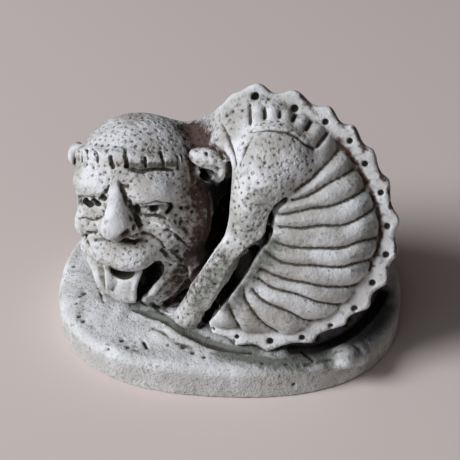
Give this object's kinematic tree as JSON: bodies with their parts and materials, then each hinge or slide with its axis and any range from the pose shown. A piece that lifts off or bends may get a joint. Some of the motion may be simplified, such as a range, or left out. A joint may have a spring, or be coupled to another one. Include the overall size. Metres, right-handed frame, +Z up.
{
  "type": "gargoyle figurine",
  "caption": "Small cast-stone gargoyle on an oval slab: a curled, ribbed body with a scalloped, drilled crest and a scowling grotesque head with its tongue out.",
  "frame": {"origin": "middle of the slab's underside, on the surface it stands on", "axes": "+Z up, +X along the slab's length towards the viewer's right, and the beast faces -Y"},
  "size_m": [0.1, 0.084, 0.0739],
  "materials": {
    "cast stone": "matte"
  },
  "bodies": {
    "root": {"gargoyle": "cast stone"}
  },
  "joints": []
}
